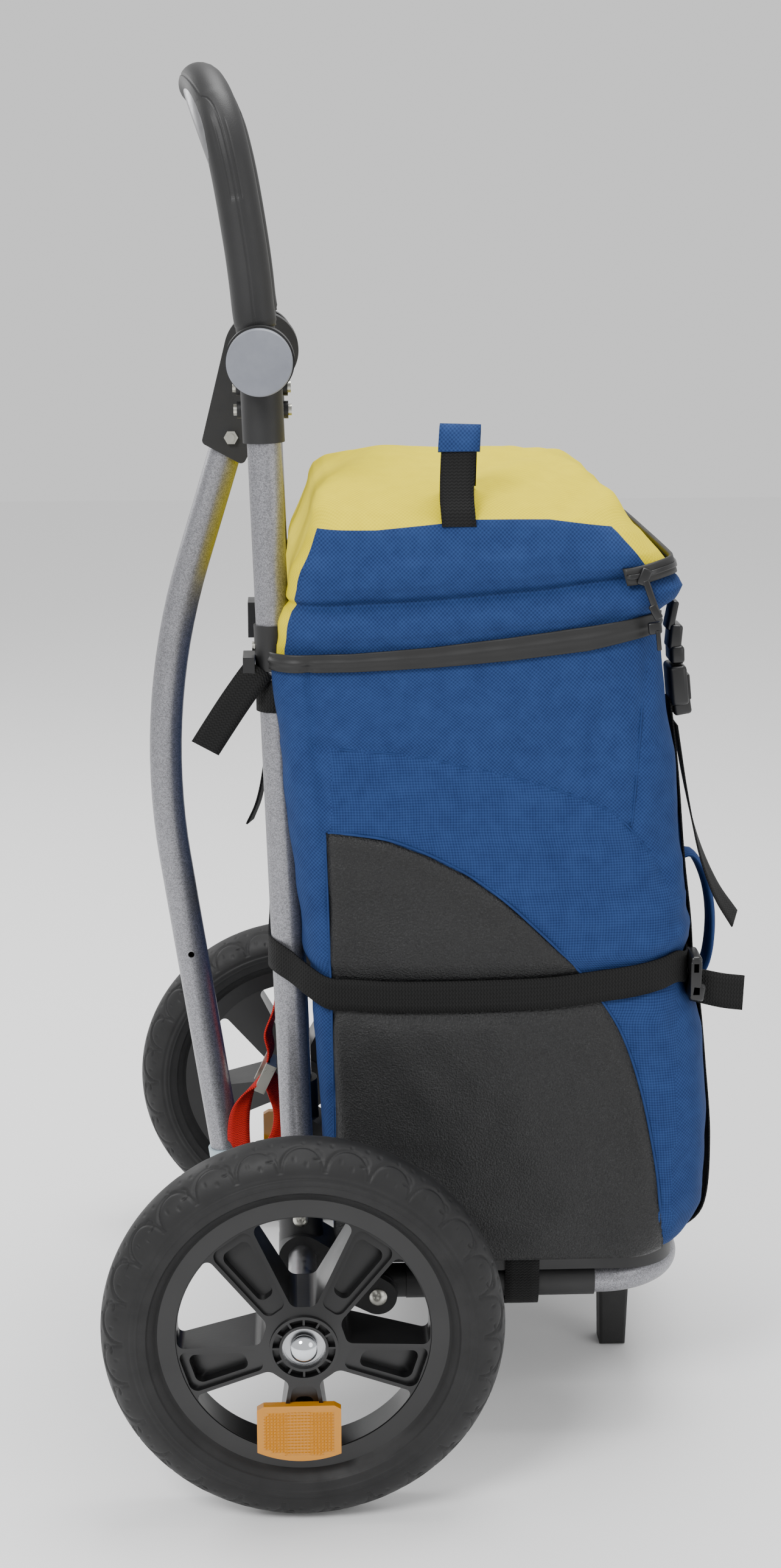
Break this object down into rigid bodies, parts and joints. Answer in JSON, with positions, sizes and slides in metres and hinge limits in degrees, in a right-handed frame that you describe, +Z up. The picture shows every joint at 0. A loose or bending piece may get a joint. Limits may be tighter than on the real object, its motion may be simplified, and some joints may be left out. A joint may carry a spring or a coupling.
{
  "type": "folding shopping trolley",
  "caption": "Two-wheeled shopping trolley with a tilting U handle, stowed tow bar, fold-up platform and zipped fabric bag with a lifting lid.",
  "frame": {"origin": "on the floor under the middle of the trolley's overall box", "axes": "+X from the wheels towards the bag's front, +Y to the left wheel, +Z up"},
  "size_m": [0.4949, 0.614, 1.0595],
  "materials": {
    "silver_paint": "satin metallic paint",
    "steel": "plain steel",
    "zinc_steel": "zinc plated",
    "black_plastic": "moulded, fine texture",
    "wheel_plastic": "moulded, satin",
    "tyre": "rubber",
    "bearing_steel": "ground",
    "amber": "clear amber",
    "chrome": "polished",
    "grey_plastic": "moulded",
    "pale_plastic": "moulded",
    "grip_foam": "soft moulded grip",
    "foot_rubber": "moulded",
    "webbing": "woven webbing",
    "buckle_plastic": "moulded",
    "blue_fabric": "woven polyester",
    "yellow_fabric": "woven polyester",
    "zip": "coated zip",
    "board": "sheet plastic",
    "red_webbing": "woven webbing"
  },
  "bodies": {
    "frame": {"main_tube_left": "silver_paint", "main_tube_right": "silver_paint", "cross_brace": "silver_paint", "axle_tube": "steel", "axle_spindle": "steel", "hinge_shaft": "steel", "pivot_bolts": "zinc_steel", "bracket_bolts": "zinc_steel", "brace_screws": "zinc_steel", "hinge_screws": "zinc_steel", "safety_buckle": "zinc_steel", "axle_bracket_left": "black_plastic", "axle_bracket_right": "black_plastic", "brace_clamp_left": "black_plastic", "brace_clamp_right": "black_plastic", "hinge_socket_left": "black_plastic", "hinge_socket_right": "black_plastic", "towbar_rest": "black_plastic", "compression_strap": "webbing", "compression_tail": "webbing", "front_strap": "webbing", "anchor_straps": "webbing", "compression_buckle": "buckle_plastic", "front_buckle_socket": "buckle_plastic", "anchor_buckles": "buckle_plastic", "bag_shell": "blue_fabric", "front_grab_loop": "blue_fabric", "bag_zip_pull": "zip", "bag_base_board": "board", "safety_strap": "red_webbing"},
    "handle": {"handle_grip": "grip_foam", "handle_core": "steel", "handle_knuckle_left": "black_plastic", "handle_knuckle_right": "black_plastic"},
    "fold_button_left": {"fold_button_left": "grey_plastic"},
    "fold_button_right": {"fold_button_right": "grey_plastic"},
    "tow_bar": {"towbar_tube": "silver_paint", "towbar_housing": "black_plastic", "towbar_bolt": "zinc_steel", "towbar_sleeve": "pale_plastic"},
    "platform": {"platform_tube": "silver_paint", "platform_sleeves": "black_plastic", "platform_lugs": "black_plastic", "platform_tray": "black_plastic", "platform_foot": "foot_rubber", "platform_straps": "webbing"},
    "wheel_left": {"tyre_left": "tyre", "wheel_left": "wheel_plastic", "wheel_bearings_left": "bearing_steel", "reflector_left": "amber"},
    "wheel_right": {"tyre_right": "tyre", "wheel_right": "wheel_plastic", "wheel_bearings_right": "bearing_steel", "reflector_right": "amber"},
    "hub_button_left": {"hub_button_left": "chrome"},
    "hub_button_right": {"hub_button_right": "chrome"},
    "lid": {"bag_lid": "yellow_fabric", "lid_carry_loop": "webbing", "lid_zip": "zip", "front_buckle_prong": "buckle_plastic"}
  },
  "joints": [
    {"name": "handle_fold", "type": "hinge", "parent": "frame", "child": "handle", "pos_m": [-0.12191, 0, 0.849], "axis": [0, -1, 0], "range_deg": [0, 98]},
    {"name": "fold_button_left_press", "type": "slide", "parent": "handle", "child": "fold_button_left", "axis": [0, -1, 0], "range_m": [0, 0.003], "stiffness_N_per_m": 800},
    {"name": "fold_button_right_press", "type": "slide", "parent": "handle", "child": "fold_button_right", "axis": [0, 1, 0], "range_m": [0, 0.003], "stiffness_N_per_m": 800},
    {"name": "towbar_swing", "type": "hinge", "parent": "frame", "child": "tow_bar", "pos_m": [-0.12191, 0, 0.849], "axis": [0, 1, 0], "range_deg": [0, 100]},
    {"name": "platform_fold", "type": "hinge", "parent": "frame", "child": "platform", "pos_m": [-0.0375, 0, 0.115], "axis": [0, -1, 0], "range_deg": [0, 88], "deforming": ["bag_shell", "bag_base_board"]},
    {"name": "wheel_left_spin", "type": "hinge", "parent": "frame", "child": "wheel_left", "pos_m": [-0.0975, 0.265, 0.15], "axis": [0, 1, 0], "continuous": true},
    {"name": "wheel_right_spin", "type": "hinge", "parent": "frame", "child": "wheel_right", "pos_m": [-0.0975, -0.265, 0.15], "axis": [0, 1, 0], "continuous": true},
    {"name": "hub_button_left_press", "type": "slide", "parent": "frame", "child": "hub_button_left", "axis": [0, -1, 0], "range_m": [0, 0.003], "stiffness_N_per_m": 600},
    {"name": "hub_button_right_press", "type": "slide", "parent": "frame", "child": "hub_button_right", "axis": [0, 1, 0], "range_m": [0, 0.003], "stiffness_N_per_m": 600},
    {"name": "lid_open", "type": "hinge", "parent": "frame", "child": "lid", "pos_m": [-0.0955, 0, 0.737], "axis": [0, -1, 0], "range_deg": [0, 60]}
  ]
}
